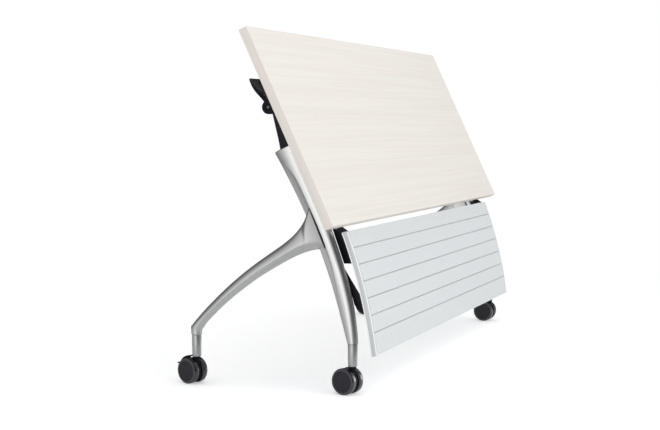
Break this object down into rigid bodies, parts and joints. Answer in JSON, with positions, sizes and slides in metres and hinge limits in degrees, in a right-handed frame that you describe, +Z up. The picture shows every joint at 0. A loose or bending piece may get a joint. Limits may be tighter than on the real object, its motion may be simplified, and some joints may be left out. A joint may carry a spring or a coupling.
{
  "type": "flip top training table",
  "caption": "Flip top training table stored with its worktop tipped up: cast legs on braked twin-wheel castors, squeeze release levers and a curved modesty panel that follows the top.",
  "frame": {"origin": "on the floor, under the middle of the table's bounding box", "axes": "+X along the worktop to the sitter's right, +Y away from the sitter, +Z up"},
  "size_m": [1.8, 0.623, 1.0217],
  "materials": {
    "laminate": "pale wood-grain laminate, satin",
    "edging": "edge band, satin",
    "cast_aluminium": "satin silver powder coat on die-cast aluminium",
    "stem_metal": "satin grey",
    "panel_metal": "silver, satin",
    "steel": "zinc plated",
    "black_metal": "black powder coat",
    "black_plastic": "black moulded plastic",
    "wheel_tread": "black moulded wheel with a satin face"
  },
  "bodies": {
    "frame": {"crossbeam": "cast_aluminium", "leg_column_right": "cast_aluminium", "leg_arm_right": "cast_aluminium", "latch_disc_right": "steel", "flip_pivot_pin_right": "steel", "stay_upper_pin_right": "steel", "leg_column_left": "cast_aluminium", "leg_arm_left": "cast_aluminium", "latch_disc_left": "steel", "flip_pivot_pin_left": "steel", "stay_upper_pin_left": "steel", "castor_stem_rear_right": "stem_metal", "castor_stem_front_right": "stem_metal", "castor_stem_rear_left": "stem_metal", "castor_stem_front_left": "stem_metal"},
    "top": {"worktop_board": "laminate", "worktop_edge_band": "edging", "hinge_bracket_right": "black_metal", "panel_hinge_seat_right": "black_metal", "panel_hinge_pin_right": "steel", "hinge_bracket_left": "black_metal", "panel_hinge_seat_left": "black_metal", "panel_hinge_pin_left": "steel"},
    "release": {"release_shaft": "steel", "release_lever_right": "black_plastic", "latch_hook_right": "black_metal", "release_lever_left": "black_plastic", "latch_hook_left": "black_metal"},
    "panel": {"modesty_panel": "panel_metal", "panel_end_cap_right": "panel_metal", "panel_arm_right": "black_metal", "stay_lower_pin_right": "steel", "panel_end_cap_left": "panel_metal", "panel_arm_left": "black_metal", "stay_lower_pin_left": "steel"},
    "stay_right": {"panel_stay_right": "black_metal"},
    "stay_left": {"panel_stay_left": "black_metal"},
    "castor_rear_right": {"castor_hood_rear_right": "black_plastic", "castor_axle_rear_right": "steel"},
    "wheel_outer_rear_right": {"castor_wheel_outer_rear_right": "wheel_tread"},
    "wheel_inner_rear_right": {"castor_wheel_inner_rear_right": "wheel_tread"},
    "castor_front_right": {"castor_hood_front_right": "black_plastic", "castor_axle_front_right": "steel", "brake_pin_front_right": "steel"},
    "wheel_outer_front_right": {"castor_wheel_outer_front_right": "wheel_tread"},
    "wheel_inner_front_right": {"castor_wheel_inner_front_right": "wheel_tread"},
    "brake_front_right": {"brake_pedal_front_right": "black_plastic"},
    "castor_rear_left": {"castor_hood_rear_left": "black_plastic", "castor_axle_rear_left": "steel"},
    "wheel_outer_rear_left": {"castor_wheel_outer_rear_left": "wheel_tread"},
    "wheel_inner_rear_left": {"castor_wheel_inner_rear_left": "wheel_tread"},
    "castor_front_left": {"castor_hood_front_left": "black_plastic", "castor_axle_front_left": "steel", "brake_pin_front_left": "steel"},
    "wheel_outer_front_left": {"castor_wheel_outer_front_left": "wheel_tread"},
    "wheel_inner_front_left": {"castor_wheel_inner_front_left": "wheel_tread"},
    "brake_front_left": {"brake_pedal_front_left": "black_plastic"}
  },
  "joints": [
    {"name": "flip", "type": "hinge", "parent": "frame", "child": "top", "pos_m": [0, 0.05754, 0.66], "axis": [1, 0, 0], "range_deg": [0, 64.86]},
    {"name": "panel_swing", "type": "hinge", "parent": "top", "child": "panel", "pos_m": [0, 0.18241, 0.46453], "axis": [1, 0, 0], "range_deg": [-64.86, 0]},
    {"name": "stay_right_swing", "type": "hinge", "parent": "frame", "child": "stay_right", "pos_m": [0.77725, 0.15429, 0.42372], "axis": [1, 0, 0], "range_deg": [0, 64.86]},
    {"name": "stay_left_swing", "type": "hinge", "parent": "frame", "child": "stay_left", "pos_m": [-0.77725, 0.15429, 0.42372], "axis": [1, 0, 0], "range_deg": [0, 64.86]},
    {"name": "release_squeeze", "type": "hinge", "parent": "top", "child": "release", "pos_m": [0, 0.00112, 0.80143], "axis": [-1, 0, 0], "range_deg": [0, 18], "stiffness_Nm_per_rad": 3, "springref_deg": -20.05},
    {"name": "swivel_rear_right", "type": "hinge", "parent": "frame", "child": "castor_rear_right", "pos_m": [0.77725, 0.24314, 0.08], "axis": [0, 0, 1], "continuous": true},
    {"name": "roll_outer_rear_right", "type": "hinge", "parent": "castor_rear_right", "child": "wheel_outer_rear_right", "pos_m": [0.77229, 0.22584, 0.0375], "axis": [0.9613, -0.2756, 0], "continuous": true},
    {"name": "roll_inner_rear_right", "type": "hinge", "parent": "castor_rear_right", "child": "wheel_inner_rear_right", "pos_m": [0.77229, 0.22584, 0.0375], "axis": [0.9613, -0.2756, 0], "continuous": true},
    {"name": "swivel_front_right", "type": "hinge", "parent": "frame", "child": "castor_front_right", "pos_m": [0.77725, -0.23886, 0.08], "axis": [0, 0, 1], "continuous": true},
    {"name": "roll_outer_front_right", "type": "hinge", "parent": "castor_front_right", "child": "wheel_outer_front_right", "pos_m": [0.77109, -0.25577, 0.0375], "axis": [0.9397, -0.342, 0], "continuous": true},
    {"name": "roll_inner_front_right", "type": "hinge", "parent": "castor_front_right", "child": "wheel_inner_front_right", "pos_m": [0.77109, -0.25577, 0.0375], "axis": [0.9397, -0.342, 0], "continuous": true},
    {"name": "brake_press_front_right", "type": "hinge", "parent": "castor_front_right", "child": "brake_front_right", "pos_m": [0.76748, -0.26571, 0.06125], "axis": [0.9397, -0.342, 0], "range_deg": [0, 8]},
    {"name": "swivel_rear_left", "type": "hinge", "parent": "frame", "child": "castor_rear_left", "pos_m": [-0.77725, 0.24314, 0.08], "axis": [0, 0, 1], "continuous": true},
    {"name": "roll_outer_rear_left", "type": "hinge", "parent": "castor_rear_left", "child": "wheel_outer_rear_left", "pos_m": [-0.77913, 0.22524, 0.0375], "axis": [0.9945, -0.1045, 0], "continuous": true},
    {"name": "roll_inner_rear_left", "type": "hinge", "parent": "castor_rear_left", "child": "wheel_inner_rear_left", "pos_m": [-0.77913, 0.22524, 0.0375], "axis": [0.9945, -0.1045, 0], "continuous": true},
    {"name": "swivel_front_left", "type": "hinge", "parent": "frame", "child": "castor_front_left", "pos_m": [-0.77725, -0.23886, 0.08], "axis": [0, 0, 1], "continuous": true},
    {"name": "roll_outer_front_left", "type": "hinge", "parent": "castor_front_left", "child": "wheel_outer_front_left", "pos_m": [-0.78099, -0.25646, 0.0375], "axis": [0.9781, -0.2079, 0], "continuous": true},
    {"name": "roll_inner_front_left", "type": "hinge", "parent": "castor_front_left", "child": "wheel_inner_front_left", "pos_m": [-0.78099, -0.25646, 0.0375], "axis": [0.9781, -0.2079, 0], "continuous": true},
    {"name": "brake_press_front_left", "type": "hinge", "parent": "castor_front_left", "child": "brake_front_left", "pos_m": [-0.78319, -0.26681, 0.06125], "axis": [0.9781, -0.2079, 0], "range_deg": [0, 8]}
  ],
  "couplings": [
    {"joint": "panel_swing", "follows": "flip", "ratio": -1},
    {"joint": "stay_right_swing", "follows": "flip", "ratio": 1},
    {"joint": "stay_left_swing", "follows": "flip", "ratio": 1}
  ]
}
